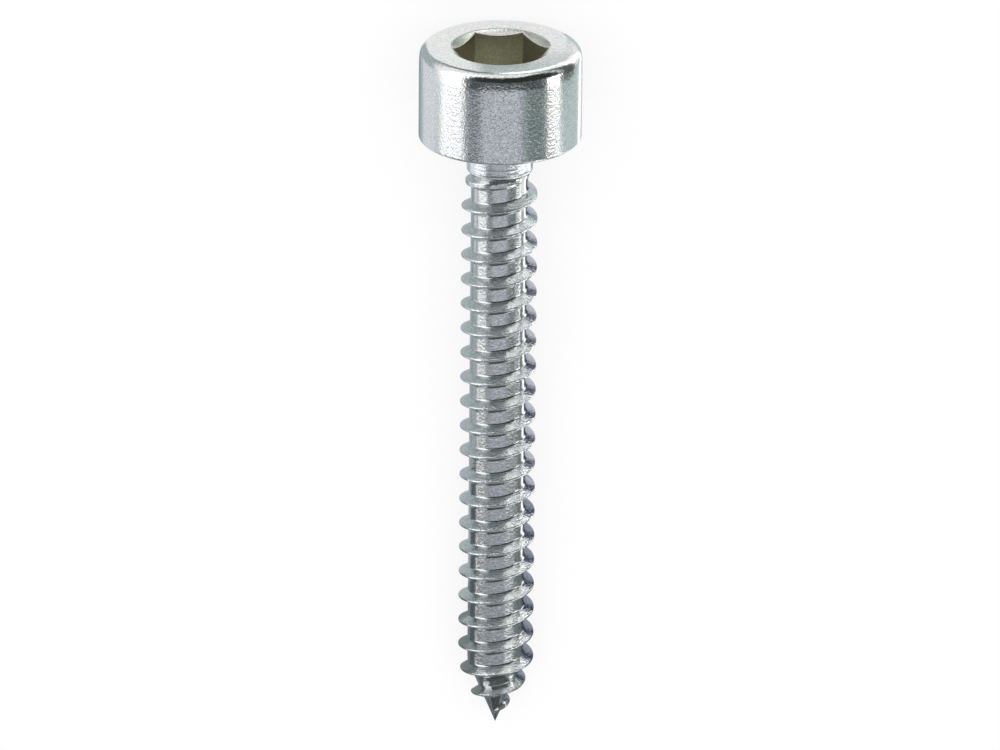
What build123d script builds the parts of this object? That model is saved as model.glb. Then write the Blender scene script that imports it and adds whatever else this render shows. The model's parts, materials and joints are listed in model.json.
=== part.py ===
"""Self-tapping screw with a cylindrical socket head, in millimetres.

The screw is one turned and rolled piece. It is built along its own axis, with the face under
the head on Z = 0 and the point downwards, and is then laid down the way it comes to rest: on
the rim of the head and on the last full crest of the thread, with the head towards +Y.
"""

import os
from math import atan2, ceil, cos, degrees, floor, pi, radians, sin, tan

from build123d import *

# Driving dimensions: the head
head_diameter = 9.84
head_height = 5.75
head_top_round = 0.63
head_rim_chamfer = 0.10

# The hexagon socket
socket_across_flats = 5.04
socket_depth = 3.0
socket_bottom_angle = 150.0
countersink_diameter = 6.08
countersink_angle = 120.0
socket_turn = 2.8

# The shank, its lengths being measured from the face under the head
shank_length = 38.55
core_diameter = 3.46
neck_diameter = 4.0
neck_fillet = 0.2
neck_length = 1.85
runout_length = 0.55
groove_width = 0.14
groove_depth = 0.06
groove_lip = 0.10
point_angle = 45.0

# The thread, right-handed: its turn at the face under the head, and how far it laps the neck
thread_diameter = 4.60
thread_pitch = 1.60
thread_flank_angle = 60.0
thread_turn = 116.5
thread_lap = 0.35
thread_growth = 2.5

# The thread on the point, its lengths being measured from the tip
point_thread_height = 0.65
point_thread_end = 0.70
point_thread_growth = 1.5

# How finely the curves are made
round_steps = 4
fillet_steps = 2
pieces_per_turn = 8
foot_share = 0.9

# Worked out from the sizes above
head_radius = head_diameter / 2
neck_radius = neck_diameter / 2
core_radius = core_diameter / 2
crest_height = (thread_diameter - core_diameter) / 2
flank_slope = tan(radians(thread_flank_angle / 2))
point_slope = tan(radians(point_angle / 2))
thread_start = neck_length - thread_lap
tip_z = -shank_length


def arc_points(centre, radius, start, end, steps):
    """Points along an arc of the turned outline, whose angles are in degrees."""
    angles = [radians(start + (end - start) * step / steps) for step in range(steps + 1)]
    return [(centre[0] + radius * cos(a), centre[1] + radius * sin(a)) for a in angles]


def turned_outline():
    """Half of the screw's section without its thread and socket, from the head to the tip."""
    top_centre = (head_radius - head_top_round, head_height - head_top_round)
    fillet_centre = (neck_radius + neck_fillet, -neck_fillet)
    groove_end = -neck_length + groove_lip
    return [
        (0, head_height),
        *arc_points(top_centre, head_top_round, 90, 0, round_steps),
        (head_radius, head_rim_chamfer),
        (head_radius - head_rim_chamfer, 0),
        *arc_points(fillet_centre, neck_fillet, 90, 180, fillet_steps),
        (neck_radius, groove_end + groove_width),
        (neck_radius - groove_depth, groove_end + groove_width / 2),
        (neck_radius, groove_end),
        (neck_radius, -neck_length),
        (core_radius, -neck_length - runout_length),
        (core_radius, tip_z + core_radius / point_slope),
        (0, tip_z),
    ]


def make_body():
    """The head, neck, core and point in one revolved piece."""
    return revolve(Plane.XZ * make_face(Polyline(*turned_outline(), close=True)), Axis.Z)


def make_socket():
    """The hollow in the head: a hexagon with a countersunk mouth and a shallow conical floor."""
    hanging = (Align.CENTER, Align.CENTER, Align.MAX)
    mouth_radius = countersink_diameter / 2
    mouth_depth = mouth_radius / tan(radians(countersink_angle / 2))
    floor_radius = socket_across_flats / 2
    floor_depth = floor_radius / tan(radians(socket_bottom_angle / 2))
    hexagon = Rot(0, 0, socket_turn) * RegularPolygon(floor_radius, 6, major_radius=False)
    mouth = Cone(0, mouth_radius, mouth_depth, align=hanging)
    floor_cone = Pos(0, 0, -socket_depth) * Cone(0, floor_radius, floor_depth, align=hanging)
    return Pos(0, 0, head_height) * (extrude(hexagon, -socket_depth) + mouth + floor_cone)


def core_radius_at(z):
    """Radius of the core under the thread, which tapers to the tip."""
    return min(core_radius, (z - tip_z) * point_slope)


def crest_radius_at(z):
    """Radius of the thread's crest, which grows out of the neck and dies away on the point."""
    share = min(max((-z - thread_start) / thread_growth, 0), 1)
    neck_height = crest_height * share * share * (3 - 2 * share)
    share = min((z - tip_z - point_thread_end) / point_thread_growth, 1)
    point_height = point_thread_height * sin(share * pi / 2)
    return min(core_radius + neck_height, core_radius_at(z) + point_height)


def foot_radius_at(z):
    """Radius of the ridge's foot, which lies inside the core on both sides of the crest."""
    reach = (crest_radius_at(z) - core_radius_at(z) / 2) * flank_slope
    return foot_share * core_radius_at(z - reach)


def crest_z(turn):
    """Height of the crest after a number of turns down from the face under the head."""
    return -turn * thread_pitch


def thread_point(turn, offset, radius):
    """A point of the thread, with its offset from the crest along the axis."""
    angle = radians(thread_turn - 360 * turn)
    return Vector(radius * cos(angle), radius * sin(angle), crest_z(turn) + offset)


def ridge_point(turn, side):
    """A point on the crest (side 0) or on one of the foot's two edges (side 1 or -1)."""
    z = crest_z(turn)
    if side == 0:
        return thread_point(turn, 0, crest_radius_at(z))
    reach = (crest_radius_at(z) - foot_radius_at(z)) * flank_slope
    return thread_point(turn, side * reach, foot_radius_at(z))


def ridge_edge(side, start, end):
    """One of the ridge's three edges between two turns, a short stretch of a helix."""
    arc = 2 * pi * (end - start)
    handle = 4 / 3 * tan(arc / 4) / arc * (end - start)
    step = 1e-4
    ends = [ridge_point(turn, side) for turn in (start, end)]
    speeds = [
        (ridge_point(turn + step, side) - ridge_point(turn - step, side)) / (2 * step)
        for turn in (start, end)
    ]
    return Bezier(ends[0], ends[0] + speeds[0] * handle, ends[1] - speeds[1] * handle, ends[1])


def make_ridge():
    """The thread's ridge: ruled faces along it, and a face across it at each end."""
    first = thread_start / thread_pitch
    last = (shank_length - 0.95 * point_thread_end) / thread_pitch
    count = ceil((last - first) * pieces_per_turn)
    stops = [first + (last - first) * number / count for number in range(count + 1)]
    sides = (1, 0, -1)
    faces = []
    for start, end in zip(stops, stops[1:]):
        edges = [ridge_edge(side, start, end) for side in sides]
        for number in range(3):
            faces.append(Face.make_surface_from_curves(edges[number], edges[number - 1]))
    for turn in (first, last):
        section = Polyline(*[ridge_point(turn, side) for side in sides], close=True)
        faces.append(Face.make_surface(section))
    return Solid(Shell(faces))


def rest_tilt():
    """Degrees by which the axis dips towards the tip when the screw lies on its side."""
    tilts = []
    for number in range(ceil(thread_start / thread_pitch), floor(shank_length / thread_pitch)):
        z = crest_z(number + (thread_turn - 90) / 360)
        drop = head_radius - crest_radius_at(z)
        tilts.append(degrees(atan2(drop, head_rim_chamfer - z)))
    return min(tilts)


def lay_down(upright):
    """Tips the screw over onto the floor and centres it over the origin."""
    tilt = rest_tilt()
    laid = Rot(tilt - 90, 0, 0) * upright
    height = head_radius * cos(radians(tilt)) - head_rim_chamfer * sin(radians(tilt))
    return Pos(0, -laid.bounding_box().center().Y, height) * laid


os.makedirs("parts", exist_ok=True)
screw = lay_down(make_body() - make_socket() + make_ridge())
export_step(screw, "parts/screw.step")
print("tilt", round(rest_tilt(), 3), "degrees, volume", round(screw.volume, 2), "mm3")
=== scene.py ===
import json
import math

import bmesh
import bpy
from mathutils import Matrix, Vector


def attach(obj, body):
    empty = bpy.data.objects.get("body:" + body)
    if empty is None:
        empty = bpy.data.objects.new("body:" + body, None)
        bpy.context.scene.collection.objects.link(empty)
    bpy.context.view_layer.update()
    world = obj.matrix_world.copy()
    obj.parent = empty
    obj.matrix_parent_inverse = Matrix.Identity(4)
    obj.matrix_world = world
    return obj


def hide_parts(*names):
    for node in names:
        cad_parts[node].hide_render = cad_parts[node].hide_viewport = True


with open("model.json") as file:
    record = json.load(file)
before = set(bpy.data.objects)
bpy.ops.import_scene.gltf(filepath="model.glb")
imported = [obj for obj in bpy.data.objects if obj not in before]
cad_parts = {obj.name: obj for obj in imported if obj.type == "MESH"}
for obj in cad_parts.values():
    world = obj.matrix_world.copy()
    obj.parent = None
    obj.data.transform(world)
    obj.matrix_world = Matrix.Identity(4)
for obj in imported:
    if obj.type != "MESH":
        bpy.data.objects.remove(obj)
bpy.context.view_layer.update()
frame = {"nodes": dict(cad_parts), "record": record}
print("frame loaded:", sorted(frame["nodes"]))

mm = 0.001
near = 0.001 * mm  # points closer than this are at the same place
mounts = {mount["name"]: mount for mount in frame["record"]["mounts"]}
headTop = Vector(mounts["drive_socket"]["pos_m"])
screwAxis = Vector(mounts["drive_socket"]["axis"]).normalized()
screwTip = Vector(mounts["thread"]["pos_m"])

# the screw, in its own frame: Z runs along it towards the head, from the face under the head
screw = {
    # the head
    "headRadius": 4.92 * mm,
    "headHeight": 5.75 * mm,
    "topRound": 0.55 * mm,
    "shoulderDrop": 0.97 * mm,  # where the side begins to lean in towards the rounded edge
    "shoulderRound": 0.09 * mm,
    "shoulderLean": 0.06 * mm,
    "rimRound": 0.12 * mm,
    # its socket, a hexagon with a countersunk mouth and a conical floor
    "socketRadius": 2.52 * mm,  # to the middle of a flat
    "socketDepth": 3.0 * mm,
    "socketTurn": 2.8,
    "socketFloorDrop": 0.66 * mm,
    "socketFloorEdge": 0.97,  # where the floor begins to drop, as a share of the socket's radius
    "mouthRadius": 3.04 * mm,
    "mouthAngle": 120.0,
    "mouthSoftness": 0.04 * mm,
    "rimMatch": 0.00001 * mm,  # how exactly a point has to lie on the mouth's rim to be softened
    # the neck and its groove
    "neckRadius": 2.0 * mm,
    "neckLength": 2.08 * mm,
    "neckFillet": 0.2 * mm,
    "neckEdgeRound": 0.05 * mm,
    "neckRunout": 0.32 * mm,
    "grooveWidth": 0.14 * mm,
    "grooveDepth": 0.06 * mm,
    "grooveRound": 0.02 * mm,
    "grooveLip": 0.10 * mm,  # what is left of the neck below the groove
    # the thread and the core under it
    "threadRadius": 2.30 * mm,
    "coreRadius": 1.73 * mm,
    "pitch": 1.60 * mm,
    "crestWidth": 0.10 * mm,
    "crestRound": 0.025 * mm,
    "rootRound": 0.05 * mm,
    "flankAngle": 60.0,
    "turnAtHead": 116.5,  # where the crest, carried on, would reach the face under the head
    "firstTurn": 0.45,  # lies hidden in the neck
    "lastTurn": 0.6,  # how far the sweep runs past the tip
    "threadStart": 1.5 * mm,  # under the head
    "threadGrowth": 2.5 * mm,  # the length in which it comes up to its full height
    "startCrest": 0.6,  # share of the unfinished ridge that stays a broad crest
    # the point
    "pointAngle": 45.0,
    "pointThreadHeight": 0.65 * mm,
    "pointThreadEnd": 0.70 * mm,  # from the tip
    "pointThreadGrowth": 1.5 * mm,
    "tipMerge": 0.04 * mm,  # what lies this near the tip is drawn into it
    # how the neck's end and the thread's start are closed, out of sight inside the core
    "innerInset": 0.1 * mm,
    "innerDrop": 0.2 * mm,
    "innerEnd": 0.3 * mm,
    "threadEndInNeck": 0.6,  # share of the neck's length
    # how finely it is made
    "turnedSteps": 192,
    "threadSteps": 96,  # in one turn
    "roundSteps": 8,
    "softSteps": 2,
    "softestRound": 0.1 * mm,  # a rounding up to this size has only the soft steps
    "headHold": 0.07 * mm,  # how near to its corners a long face is held flat
    "threadHold": 0.015 * mm,
    "turnedMerge": 0.0005 * mm,
    "threadMerge": 0.0008 * mm,
    "threadDissolve": 0.0004 * mm,
    "sharpAngle": 28.0,
}
tipZ = screw["headHeight"] - (headTop - screwTip).length
ridgeHeight = screw["threadRadius"] - screw["coreRadius"]
mouthSlope = 1 / math.tan(math.radians(screw["mouthAngle"] / 2))


def screwPlace():
    # where the screw's own frame lies on the floor
    side = Vector((1, 0, 0))
    place = Matrix((side, screwAxis.cross(side), screwAxis)).transposed().to_4x4()
    place.translation = headTop - screwAxis * screw["headHeight"]
    return place


def addOutline(bm, corners, hold, bare=()):
    # a chain of edges in the XZ plane; each corner is its radius, its height and its rounding
    verts = [bm.verts.new((radius, 0, z)) for radius, z, rounding in corners]
    for number, (first, second) in enumerate(zip(verts, verts[1:])):
        # points close to the corners keep the long faces flat in their shading
        chain = [first, second]
        along = second.co - first.co
        before, after = corners[number][2] + hold, corners[number + 1][2] + hold
        if number not in bare and along.length > before + after + hold:
            chain[1:1] = [bm.verts.new(first.co + along.normalized() * before),
                          bm.verts.new(second.co - along.normalized() * after)]
        for start, end in zip(chain, chain[1:]):
            bm.edges.new((start, end))
    for vert, (radius, z, rounding) in zip(verts, corners):
        if rounding:
            soft = rounding <= screw["softestRound"]
            bmesh.ops.bevel(bm, geom=[vert], offset=rounding, offset_type="OFFSET",
                            segments=screw["softSteps" if soft else "roundSteps"],
                            profile=0.5, affect="VERTICES", material=-1)


def hexagonReach(angle):
    # how far the hexagon's wall is from the axis at this angle
    fromFlat = math.radians((angle - screw["socketTurn"]) % 60 - 30)
    return screw["socketRadius"] / math.cos(fromFlat)


def makeTurnedBody():
    bm = bmesh.new()
    socket, mouth = screw["socketRadius"], screw["mouthRadius"]
    outside, neck, core = screw["headRadius"], screw["neckRadius"], screw["coreRadius"]
    top = screw["headHeight"]
    wallTop = top - (mouth - socket) * mouthSlope
    floorZ = top - screw["socketDepth"]
    neckZ = -screw["neckLength"]
    lipZ = neckZ + screw["grooveLip"]
    cutZ = lipZ + screw["grooveWidth"]
    coreTopZ = neckZ - screw["neckRunout"]
    # from the socket's floor over the head and down to the core; the mouth's cone stays bare
    addOutline(bm, [
        (0, floorZ - screw["socketFloorDrop"], 0),
        (socket * screw["socketFloorEdge"], floorZ, 0),
        (socket, floorZ, 0),
        (socket, wallTop, 0),
        (mouth, top, 0),
        (outside - screw["shoulderLean"], top, screw["topRound"]),
        (outside, top - screw["shoulderDrop"], screw["shoulderRound"]),
        (outside, 0, screw["rimRound"]),
        (neck, 0, screw["neckFillet"]),
        (neck, cutZ, 0),
        (neck - screw["grooveDepth"], (cutZ + lipZ) / 2, screw["grooveRound"]),
        (neck, lipZ, 0),
        (neck, neckZ, screw["neckEdgeRound"]),
        (core, coreTopZ, 0),
        (core - screw["innerInset"], coreTopZ - screw["innerDrop"], 0),
        (0, coreTopZ - screw["innerEnd"], 0),
    ], screw["headHold"], bare={3})
    turn = Matrix.Rotation(math.radians(screw["socketTurn"]), 3, "Z")
    bmesh.ops.rotate(bm, cent=(0, 0, 0), matrix=turn, verts=bm.verts)
    bmesh.ops.spin(bm, geom=bm.verts[:] + bm.edges[:], cent=(0, 0, 0), axis=(0, 0, 1),
                   dvec=(0, 0, 0), angle=math.tau, steps=screw["turnedSteps"], use_merge=True,
                   use_duplicate=False)
    bmesh.ops.remove_doubles(bm, verts=bm.verts, dist=screw["turnedMerge"])
    # the socket's round wall is pushed out to its hexagon, under the cone of its mouth
    wallEdge, rim = set(), set()
    for vert in bm.verts:
        radius, z = vert.co.xy.length, vert.co.z
        if max(abs(z - top), abs(radius - mouth)) < screw["rimMatch"]:
            rim.add(vert)
        elif z > floorZ - near and abs(radius - socket) < near:
            reach = hexagonReach(math.degrees(math.atan2(vert.co.y, vert.co.x)))
            vert.co.xy = vert.co.xy * (reach / radius)
            if z > wallTop - near:
                vert.co.z = top - (mouth - reach) * mouthSlope
                wallEdge.add(vert)
    for ring in (wallEdge, rim):
        edges = [e for e in bm.edges if e.verts[0] in ring and e.verts[1] in ring]
        bmesh.ops.bevel(bm, geom=edges, offset=screw["mouthSoftness"], offset_type="OFFSET",
                        segments=screw["softSteps"], profile=0.5, affect="EDGES", material=-1)
    bmesh.ops.recalc_face_normals(bm, faces=bm.faces)
    return bm


def coreRadiusAt(z):
    slope = math.tan(math.radians(screw["pointAngle"] / 2))
    return max(0, min(screw["coreRadius"], (z - tipZ) * slope))


def crestHeightAt(z):
    # the thread grows out of the neck and dies away on the point
    share = min(max((-z - screw["threadStart"]) / screw["threadGrowth"], 0), 1)
    atNeck = screw["coreRadius"] + ridgeHeight * share * share * (3 - 2 * share)
    share = min(max((z - tipZ - screw["pointThreadEnd"]) / screw["pointThreadGrowth"], 0), 1)
    atPoint = coreRadiusAt(z) + screw["pointThreadHeight"] * math.sin(share * math.pi / 2)
    return min(atNeck, atPoint) - coreRadiusAt(z)


def sweepThread(bm):
    # one turn's outline is swept down the screw, and each turn then joins the next
    pitch = screw["pitch"]
    bmesh.ops.translate(bm, vec=(0, 0, -screw["firstTurn"] * pitch), verts=bm.verts)
    start = math.radians(screw["turnAtHead"] - 360 * screw["firstTurn"])
    bmesh.ops.rotate(bm, cent=(0, 0, 0), matrix=Matrix.Rotation(start, 3, "Z"), verts=bm.verts)
    bmesh.ops.spin(bm, geom=bm.verts[:] + bm.edges[:], cent=(0, 0, 0), axis=(0, 0, -1),
                   dvec=(0, 0, -pitch / screw["threadSteps"]), angle=math.tau,
                   steps=screw["threadSteps"], use_merge=False, use_duplicate=False)
    oneTurn = bm.verts[:] + bm.edges[:] + bm.faces[:]
    for turn in range(1, math.ceil(-tipZ / pitch + screw["lastTurn"] - screw["firstTurn"])):
        copied = bmesh.ops.duplicate(bm, geom=oneTurn)["geom"]
        bmesh.ops.translate(bm, vec=(0, 0, -turn * pitch),
                            verts=[g for g in copied if isinstance(g, bmesh.types.BMVert)])


def makeThread():
    bm = bmesh.new()
    core, halfPitch = screw["coreRadius"], screw["pitch"] / 2
    halfCrest = screw["crestWidth"] / 2
    flank = ridgeHeight * math.tan(math.radians(screw["flankAngle"] / 2))
    foot = halfCrest + flank
    addOutline(bm, [
        (core, halfPitch, 0),
        (core, foot, screw["rootRound"]),
        (screw["threadRadius"], halfCrest, screw["crestRound"]),
        (screw["threadRadius"], -halfCrest, screw["crestRound"]),
        (core, -foot, screw["rootRound"]),
        (core, -halfPitch, 0),
    ], screw["threadHold"])
    sweepThread(bm)
    # the full ridge is then made as high and as wide as it is at its place
    for vert in bm.verts:
        radius = vert.co.xy.length
        turn = (screw["turnAtHead"] - math.degrees(math.atan2(vert.co.y, vert.co.x))) / 360
        offset = (vert.co.z + turn * screw["pitch"] + halfPitch) % screw["pitch"] - halfPitch
        crestZ = vert.co.z - offset
        height = crestHeightAt(crestZ)
        newCrest = halfCrest
        if crestZ > tipZ / 2:
            newCrest += screw["startCrest"] * (foot - halfCrest) * (1 - height / ridgeHeight)
        newFoot = newCrest + (foot - halfCrest) * height / ridgeHeight
        if abs(offset) < halfCrest:
            reach = abs(offset) * newCrest / halfCrest
        elif abs(offset) < foot:
            reach = newCrest + (abs(offset) - halfCrest) * height / ridgeHeight
        else:
            rest = (abs(offset) - foot) / (halfPitch - foot)
            reach = newFoot + rest * (halfPitch - newFoot)
        z = crestZ + math.copysign(reach, offset)
        if z < tipZ + screw["tipMerge"]:
            vert.co = (0, 0, tipZ)
        else:
            newRadius = coreRadiusAt(z) + (radius - core) / ridgeHeight * height
            vert.co = (vert.co.x * newRadius / radius, vert.co.y * newRadius / radius, z)
    bmesh.ops.remove_doubles(bm, verts=bm.verts, dist=screw["threadMerge"])
    bmesh.ops.dissolve_degenerate(bm, edges=bm.edges, dist=screw["threadDissolve"])
    # the open start, inside the neck, is drawn together on the axis
    openEdges = [e for e in bm.edges if e.is_boundary]
    drawn = bmesh.ops.extrude_edge_only(bm, edges=openEdges)["geom"]
    bmesh.ops.pointmerge(bm, verts=[g for g in drawn if isinstance(g, bmesh.types.BMVert)],
                         merge_co=(0, 0, -screw["neckLength"] * screw["threadEndInNeck"]))
    bmesh.ops.recalc_face_normals(bm, faces=bm.faces)
    return bm


def makeScrew(material):
    threadMesh = bpy.data.meshes.new("threadPart")
    threadBm = makeThread()
    threadBm.to_mesh(threadMesh)
    threadBm.free()
    bm = makeTurnedBody()
    bm.from_mesh(threadMesh)
    bpy.data.meshes.remove(threadMesh)
    markSurfaces(bm)
    bmesh.ops.transform(bm, matrix=screwPlace(), space=Matrix.Identity(4), verts=bm.verts)
    mesh = bpy.data.meshes.new("screwSteel")
    bm.to_mesh(mesh)
    bm.free()
    mesh.shade_smooth()
    mesh.set_sharp_from_angle(angle=math.radians(screw["sharpAngle"]))
    mesh.materials.append(material)
    piece = bpy.data.objects.new("screwSteel", mesh)
    bpy.context.scene.collection.objects.link(piece)
    return piece


# the plating, whose looks follow the masks that markSurfaces puts on the mesh; its colour carries
# painted shade in the thread's roots and in the socket
steel = {
    "coolColour": (0.72, 0.75, 0.79, 1),
    "warmColour": (0.80, 0.80, 0.75, 1),
    # painted shade: the thread's colour is darkened towards its roots and lighter at its crests
    "rootShadeColour": (0.68, 0.69, 0.69, 1),
    "crestColour": (0.80, 0.82, 0.82, 1),
    "turnedColour": (0.92, 0.93, 0.97, 1),
    # painted shade: the socket is darkened, more so deeper in
    "recessShadeColour": (0.64, 0.63, 0.53, 1),
    "patchScale": 700,  # patches of tint per metre
    "speckScale": 9000,
    "speckStrength": 0.7,
    "patchDetail": 2,
    "speckDetail": 1,
    "roughness": 0.14,
    "rolledRoughness": 0.15,
    "turnedRoughness": 0.25,
    "recessRoughness": 0.32,
    "roughnessSpread": 0.04,
    "grainScale": 5600,  # grains per metre
    "grainDepth": 0.009 * mm,
    "grainDetail": 1,
    "fineScale": 10000,
    "fineDepth": 0.007 * mm,
    "fineDetail": 2,
    "turnedLines": 6,  # turned lines per millimetre
    "turnedDepth": 0.02 * mm,
    "rolledGrain": 0.75,  # how many times as deep on the rolled thread
    "crestGrain": 1.8,  # and how much more at its crest
    "mouthShare": 0.8,  # how much of the socket's painted shade and roughness its mouth has
    "mouthFade": 0.25,  # and the share of the mouth's depth in which it comes up
    "wallDepth": 1.2,  # how many times as deep as the mouth the wall's full painted shade and roughness begin
}


def markSurfaces(bm):
    # where the neck is turned and the thread rolled, how near its crest, and how deep in the
    # socket; the crest and socket masks also place the material's painted shade
    layers = bm.verts.layers.float
    turned, along, rolled, crest, recess = (
        layers.new(name) for name in ("turned", "along", "rolled", "crest", "recess"))
    mouthDepth = (screw["mouthRadius"] - screw["socketRadius"]) * mouthSlope
    for vert in bm.verts:
        radius, z = vert.co.xy.length, vert.co.z
        if z < -screw["neckLength"]:
            vert[rolled] = 1
            vert[crest] = min(1, max(0, radius - coreRadiusAt(z)) / ridgeHeight)
        elif z > 0 and radius < screw["mouthRadius"]:
            depth = (screw["headHeight"] - z) / mouthDepth
            inMouth = steel["mouthShare"] * min(1, depth / steel["mouthFade"])
            vert[recess] = 1 if depth > steel["wallDepth"] else inMouth
        elif z < 0:
            vert[turned] = 1
            vert[along] = z / mm


def addNoise(nodes, links, place, scale, detail):
    noise = nodes.new("ShaderNodeTexNoise")
    noise.inputs["Scale"].default_value = scale
    noise.inputs["Detail"].default_value = detail
    links.new(place, noise.inputs["Vector"])
    return noise.outputs["Fac"]


def feed(links, socket, value):
    # a plain value is set on the socket, and another socket is linked to it
    if isinstance(value, bpy.types.NodeSocket):
        links.new(value, socket)
    else:
        socket.default_value = value


def addMix(nodes, links, share, first, second, blend="MIX"):
    mix = nodes.new("ShaderNodeMix")
    mix.data_type = "RGBA"
    mix.blend_type = blend
    for name, value in (("Factor", share), ("A", first), ("B", second)):
        feed(links, mix.inputs[name], value)
    return mix.outputs["Result"]


def addSum(nodes, links, value, factor, rest):
    # value * factor + rest
    total = nodes.new("ShaderNodeMath")
    total.operation = "MULTIPLY_ADD"
    for number, part in enumerate((value, factor, rest)):
        feed(links, total.inputs[number], part)
    return total.outputs["Value"]


def addMask(nodes, name):
    mask = nodes.new("ShaderNodeAttribute")
    mask.attribute_name = name
    return mask.outputs["Fac"]


def makeSteelMaterial():
    material = bpy.data.materials.new("platedSteel")
    material.use_nodes = True
    nodes, links = material.node_tree.nodes, material.node_tree.links
    shader = nodes["Principled BSDF"]
    shader.inputs["Metallic"].default_value = 1
    place = nodes.new("ShaderNodeTexCoord").outputs["Object"]
    turned, along, rolled, crest, recess = (
        addMask(nodes, name) for name in ("turned", "along", "rolled", "crest", "recess"))
    # the plating's tint, with painted shade: darker in the roots of the thread and in the socket
    patches = addNoise(nodes, links, place, steel["patchScale"], steel["patchDetail"])
    plain = addMix(nodes, links, patches, steel["coolColour"], steel["warmColour"])
    # painted shade in the thread's roots, from dark at the root to light at the crest
    threadShade = addMix(nodes, links, crest, steel["rootShadeColour"], steel["crestColour"])
    colour = addMix(nodes, links, rolled, plain, threadShade)
    colour = addMix(nodes, links, turned, colour, steel["turnedColour"])
    # painted shade in the socket, deepening towards its wall and floor
    colour = addMix(nodes, links, recess, colour, steel["recessShadeColour"])
    specks = addNoise(nodes, links, place, steel["speckScale"], steel["speckDetail"])
    specks = addSum(nodes, links, specks, steel["speckStrength"], 1 - steel["speckStrength"] / 2)
    colour = addMix(nodes, links, 1, colour, specks, blend="MULTIPLY")
    links.new(colour, shader.inputs["Base Color"])
    # how dull it is
    roughness = steel["roughness"]
    for mask, name in ((rolled, "rolledRoughness"), (turned, "turnedRoughness"),
                       (recess, "recessRoughness")):
        roughness = addSum(nodes, links, mask, steel[name] - steel["roughness"], roughness)
    roughness = addSum(nodes, links, patches, steel["roughnessSpread"], roughness)
    links.new(roughness, shader.inputs["Roughness"])
    # the grain, coarse and fine, deeper on the rolled thread and at its crest
    grain = addNoise(nodes, links, place, steel["grainScale"], steel["grainDetail"])
    fine = addNoise(nodes, links, place, steel["fineScale"], steel["fineDetail"])
    depth = addSum(nodes, links, rolled, steel["rolledGrain"] - 1, 1)
    depth = addSum(nodes, links, crest, steel["crestGrain"], depth)
    height = addSum(nodes, links, fine, steel["fineDepth"] / steel["grainDepth"], grain)
    height = addSum(nodes, links, height, depth, 0)
    # and the neck's turned lines
    lines = nodes.new("ShaderNodeTexNoise")
    lines.noise_dimensions = "1D"
    lines.inputs["Scale"].default_value = steel["turnedLines"]
    links.new(along, lines.inputs["W"])
    cut = addSum(nodes, links, lines.outputs["Fac"], turned, 0)
    height = addSum(nodes, links, cut, steel["turnedDepth"] / steel["grainDepth"], height)
    bump = nodes.new("ShaderNodeBump")
    bump.inputs["Strength"].default_value = 1
    bump.inputs["Distance"].default_value = steel["grainDepth"]
    links.new(height, bump.inputs["Height"])
    links.new(bump.outputs["Normal"], shader.inputs["Normal"])
    return material


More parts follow.
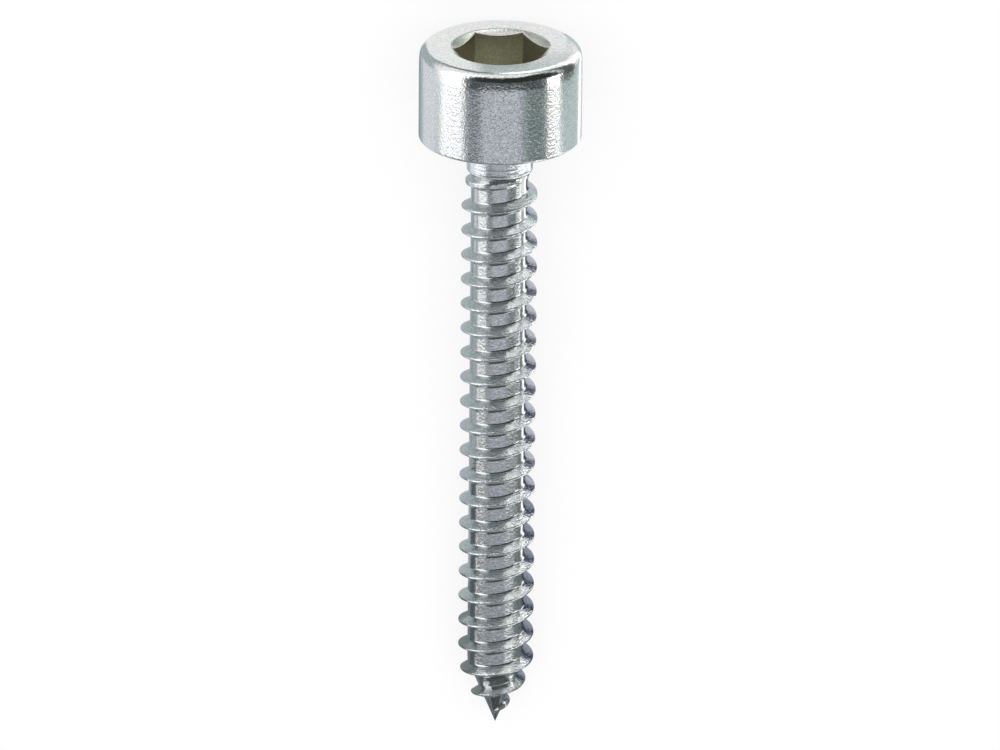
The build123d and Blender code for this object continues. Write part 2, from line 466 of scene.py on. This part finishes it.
# the studio
camera = {
    "tilt": 22.5,  # above the plane square to the screw, on the head's side
    "distance": 900 * mm,
    "aimBelowTop": 21.36 * mm,
    "aimAside": 0.12 * mm,
    "roll": 0.5,
    "lens": 534.2,
    "sensor": 36,
    "clip": (0.05, 20),
}
studio = {
    "worldLight": 0.5,
    "floorSize": 3,
    "floorColour": (0.85, 0.85, 0.85, 1),
    "floorGlow": 0.8,
    "panelPlace": (0, 0.1, 0.8),
    "panelSize": 1.2,
    "panelEnergy": 8,
    "cardReach": 0.5,  # how far the curved cards stand from the screw
    "cardSteps": 16,
    "floorCardSteps": 12,
    "floorCardLift": 0.1 * mm,
    "floorCardGap": 0.02 * mm,  # a later floor card lies this much higher than the one before
    # towards the tip the floor cards' edges draw in, between these distances from the screw's
    # axis, down to this share at least, and from here on to the head they run straight
    "drawnSpan": (2, 13),
    "drawnLeast": 0.1,
    "straightAlong": 8,
    # each curved card's span in degrees round the screw, from the camera's side, its span in
    # degrees along it, towards the head, and its colour
    "cards": {
        "leftSoftbox": ((-92, -53), (-21.8, 75), (1.6, 1.6, 1.62)),
        "leftFlag": ((-51, -27), (-20.1, 60), (0.05, 0.08, 0.10)),
        "leftDimCard": ((-92, -53), (-29, -22), (0.13, 0.14, 0.15)),
        "leftLowCard": ((-92, -53), (-44, -29), (0.30, 0.35, 0.35)),
        "lowerLeftCard": ((-53, -27), (-44, -29.2), (0.34, 0.41, 0.41)),
        "frontCard": ((-27, 30), (-20.8, -15.6), (0.86, 0.89, 0.99)),
        "shankLeftCard": ((-53, -27), (-24.9, -20.6), (0.68, 0.70, 0.75)),
        "shankCard": ((-27, 30), (-24.9, -20.9), (0.45, 0.465, 0.51)),
        "pointCard": ((-53, 30), (-29.2, -24.9), (0.15, 0.16, 0.18)),
        "frontLowCard": ((-27, 38), (-44, -29.2), (0.46, 0.53, 0.54)),
        "pointFlag": ((-92, 90), (-80, -44), (0.07, 0.08, 0.08)),
        "rightCard": ((30, 39), (-29, -15.6), (0.36, 0.42, 0.44)),
        "rightFlag": ((39, 68), (-27, -15.6), (0.17, 0.23, 0.23)),
        "rightStrip": ((71, 90), (-20.2, -16.6), (1.0, 1.0, 0.97)),
        "rightSoftbox": ((71, 90), (-16.6, 0), (3.6, 3.6, 3.6)),
        "rightLowPanel": ((38, 78), (-44, -28.1), (2.3, 2.3, 2.3)),
        "rightLowCard": ((68, 90), (-28.1, -20.2), (0.11, 0.13, 0.14)),
        "rightPointCard": ((78, 90), (-44, -28.1), (0.11, 0.13, 0.14)),
        "topFlag": ((-45, 70), (-15.5, -7), (0.03, 0.035, 0.03)),
        "topGreyCard": ((-51, 68), (-7, 8), (0.14, 0.15, 0.15)),
        "upperFlag": ((-45, 110), (8, 66), (0.03, 0.035, 0.03)),
    },
    # each floor card's span across the screw and its span along it at the left edge, both in
    # millimetres, how far it slants towards the tip, and its colour
    "floorCards": {
        "tipFloorCard": ((-12, 12), (-60, -20), 0, (0.08, 0.09, 0.10)),
        "leftTipCard": ((-6.8, -0.4), (-30, -10), 0, (0.22, 0.25, 0.26)),
        "leftFloorCard": ((-5.6, -1.3), (-14, 21), 0, (0.46, 0.52, 0.54)),
        "leftFloorFlag": ((-60, -6.8), (-80, -23), -0.3, (0.11, 0.13, 0.14)),
        "leftFarCard": ((-60, -5.6), (-23, 20), -0.3, (0.44, 0.50, 0.52)),
        "headLeftCard": ((-60, -9.5), (4, 22), 0, (0.76, 0.80, 0.84)),
        "leftFloorEdge": ((-7.4, -5.4), (-14, 21), 0, (0.30, 0.36, 0.37)),
        # painted shadow: a lilac-grey sheet, seen only in reflections, standing in for the shadowed
        # floor beside the shank
        "shankShadowCard": ((1.5, 4.3), (-6, 15), 0, (0.58, 0.61, 0.68)),
        "rightTipCard": ((1.5, 4.3), (-30, -6), 0, (0.30, 0.34, 0.39)),
        "rightFloorFlag": ((4.3, 6.9), (-30, 15), 0, (0.03, 0.045, 0.08)),
        "rightTipFlag": ((6.9, 11), (-30, -13), 0, (0.13, 0.16, 0.18)),
        "rightFloorPanel": ((7.5, 11), (-13, 14), 0.2, (2.1, 2.1, 2.1)),
        "rightFarCard": ((11, 300), (-60, 8), 0.414, (0.17, 0.20, 0.20)),
        "rightFarPanel": ((40, 300), (-14, 3), 0.3, (2.2, 2.2, 2.2)),
        # painted shadow: a grey sheet, seen only in reflections, standing in for the head's shadow
        # on the floor
        "headShadowCard": ((4, 300), (15, 24), 0.414, (0.55, 0.64, 0.64)),
        "rightFloorGlow": ((7.5, 13.5), (24, 31), 0, (1.8, 1.8, 1.8)),
        "rightFloorEdge": ((7.3, 8.6), (13.5, 26), 0, (2, 2, 2)),
        "headFloorFlag": ((14, 200), (17.5, 70), 0.35, (0.1, 0.11, 0.1)),
        "mouthFloorCard": ((-1.7, 1.7), (23.75, 25), 0, (0.2, 0.24, 0.21)),
        "farFloorCard": ((-1.2, 5), (24.9, 27), 0, (0.5, 0.57, 0.57)),
        "farFloorPanel": ((0.3, 6), (27.5, 36), 0, (1.9, 1.9, 1.85)),
        "farFloorFlag": ((-6, -0.3), (27.5, 36), 0, (0.18, 0.21, 0.18)),
        "farGreyCard": ((-8, 14), (36.5, 60), 0, (0.6, 0.68, 0.66)),
    },
}


def makeCamera():
    place = screwPlace()
    across = Vector((1, 0, 0))
    square = place.to_3x3() @ Vector((0, -1, 0))
    tilt = math.radians(camera["tilt"])
    back = square * math.cos(tilt) + screwAxis * math.sin(tilt)
    aim = headTop - screwAxis * camera["aimBelowTop"] + across * camera["aimAside"]
    data = bpy.data.cameras.new("studioCamera")
    data.lens = camera["lens"]
    data.sensor_width = camera["sensor"]
    data.clip_start, data.clip_end = camera["clip"]
    eye = bpy.data.objects.new("studioCamera", data)
    bpy.context.scene.collection.objects.link(eye)
    up = back.cross(across)
    roll = Matrix.Rotation(math.radians(camera["roll"]), 3, "Z")
    turn = Matrix((across, up, back)).transposed() @ roll
    eye.matrix_world = Matrix.Translation(aim + back * camera["distance"]) @ turn.to_4x4()
    bpy.context.scene.camera = eye


def addSkyPanel():
    data = bpy.data.lights.new("skyPanel", "AREA")
    data.shape = "RECTANGLE"
    data.size = data.size_y = studio["panelSize"]
    data.energy = studio["panelEnergy"]
    lamp = bpy.data.objects.new("skyPanel", data)
    bpy.context.scene.collection.objects.link(lamp)
    lamp.location = studio["panelPlace"]
    lamp.rotation_euler = (-lamp.location).to_track_quat("-Z", "Y").to_euler()
    lamp.visible_camera = False
    lamp.visible_glossy = False


def spread(share, span):
    # a grid's points run from -0.5 to 0.5, and are spread over a span
    return span[0] + (share + 0.5) * (span[1] - span[0])


def addCard(name, around, along, colour):
    # a curved card that only reflections see, round the middle of the screw
    bm = bmesh.new()
    steps = studio["cardSteps"]
    bmesh.ops.create_grid(bm, x_segments=steps, y_segments=steps, size=0.5)
    place = screwPlace().to_3x3()
    middle = (headTop + screwTip) / 2
    for vert in bm.verts:
        turn = math.radians(spread(vert.co.x, around))
        rise = math.radians(spread(vert.co.y, along))
        level = math.cos(rise)
        toward = Vector((level * math.sin(turn), -level * math.cos(turn), math.sin(rise)))
        vert.co = middle + place @ toward * studio["cardReach"]
    finishCard(name, bm, colour)


def axisHeight(along):
    share = (mm * along - screwTip.y) / (headTop.y - screwTip.y)
    return screwTip.z + share * (headTop.z - screwTip.z)


def drawnShare(along):
    # how high the screw's axis lies over the floor, as a share of its height under the head
    straight = studio["straightAlong"]
    share = axisHeight(min(along, straight)) / axisHeight(straight)
    return max(studio["drawnLeast"], share)


def addFloorCard(name, across, along, slant, colour, lift):
    bm = bmesh.new()
    nearest, farthest = studio["drawnSpan"]
    bmesh.ops.create_grid(bm, x_segments=1, y_segments=studio["floorCardSteps"], size=0.5)
    for vert in bm.verts:
        place = spread(vert.co.x, across)
        rise = spread(vert.co.y, along) - (place - across[0]) * slant
        # a card's edge draws in towards the tip, where the screw lies lower
        drawn = min(max(abs(place) - nearest, 0), farthest - nearest) * (1 - drawnShare(rise))
        place -= math.copysign(drawn, place)
        vert.co = (mm * place, mm * rise, lift)
    finishCard(name, bm, colour)


def finishCard(name, bm, colour):
    mesh = bpy.data.meshes.new(name)
    bm.to_mesh(mesh)
    bm.free()
    card = bpy.data.objects.new(name, mesh)
    bpy.context.scene.collection.objects.link(card)
    material = bpy.data.materials.new(name)
    material.use_nodes = True
    nodes, links = material.node_tree.nodes, material.node_tree.links
    nodes.remove(nodes["Principled BSDF"])
    glow = nodes.new("ShaderNodeEmission")
    glow.inputs["Color"].default_value = (*colour, 1)
    links.new(glow.outputs["Emission"], nodes["Material Output"].inputs["Surface"])
    card.data.materials.append(material)
    card.visible_camera = False
    card.visible_diffuse = False
    card.visible_shadow = False


def shownLevel(nodes, links, hidden, shown):
    # a level for what the camera, reflections and clear things see, and another for the rest
    path = nodes.new("ShaderNodeLightPath")
    first = nodes.new("ShaderNodeMath")
    second = nodes.new("ShaderNodeMath")
    first.operation = second.operation = "MAXIMUM"
    level = nodes.new("ShaderNodeMapRange")
    level.inputs["To Min"].default_value = hidden
    level.inputs["To Max"].default_value = shown
    links.new(path.outputs["Is Camera Ray"], first.inputs[0])
    links.new(path.outputs["Is Glossy Ray"], first.inputs[1])
    links.new(first.outputs["Value"], second.inputs[0])
    links.new(path.outputs["Is Transmission Ray"], second.inputs[1])
    links.new(second.outputs["Value"], level.inputs["Value"])
    return level.outputs["Result"]


def makeStudio():
    scene = bpy.context.scene
    scene.view_settings.view_transform = "Standard"
    world = bpy.data.worlds.new("studioRoom")
    scene.world = world
    world.use_nodes = True
    nodes, links = world.node_tree.nodes, world.node_tree.links
    background = nodes["Background"]
    background.inputs["Color"].default_value = (1, 1, 1, 1)
    links.new(shownLevel(nodes, links, studio["worldLight"], 1.0), background.inputs["Strength"])
    bm = bmesh.new()
    bmesh.ops.create_grid(bm, x_segments=1, y_segments=1, size=studio["floorSize"])
    mesh = bpy.data.meshes.new("studioFloor")
    bm.to_mesh(mesh)
    bm.free()
    floor = bpy.data.objects.new("studioFloor", mesh)
    scene.collection.objects.link(floor)
    material = bpy.data.materials.new("paleFloor")
    material.use_nodes = True
    nodes, links = material.node_tree.nodes, material.node_tree.links
    nodes.remove(nodes["Principled BSDF"])
    matte = nodes.new("ShaderNodeBsdfDiffuse")
    matte.inputs["Color"].default_value = studio["floorColour"]
    white = nodes.new("ShaderNodeEmission")
    mix = nodes.new("ShaderNodeMixShader")
    links.new(shownLevel(nodes, links, 0, studio["floorGlow"]), mix.inputs["Fac"])
    links.new(matte.outputs["BSDF"], mix.inputs[1])
    links.new(white.outputs["Emission"], mix.inputs[2])
    links.new(mix.outputs["Shader"], nodes["Material Output"].inputs["Surface"])
    mesh.materials.append(material)
    addSkyPanel()
    for name, values in studio["cards"].items():
        addCard(name, *values)
    for number, (name, values) in enumerate(studio["floorCards"].items()):
        lift = studio["floorCardLift"] + number * studio["floorCardGap"]
        addFloorCard(name, *values, lift)


screwPiece = makeScrew(makeSteelMaterial())
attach(screwPiece, "root")
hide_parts("screw")
print("screw:", len(screwPiece.data.polygons), "faces")
makeStudio()
makeCamera()
print("studio set up")
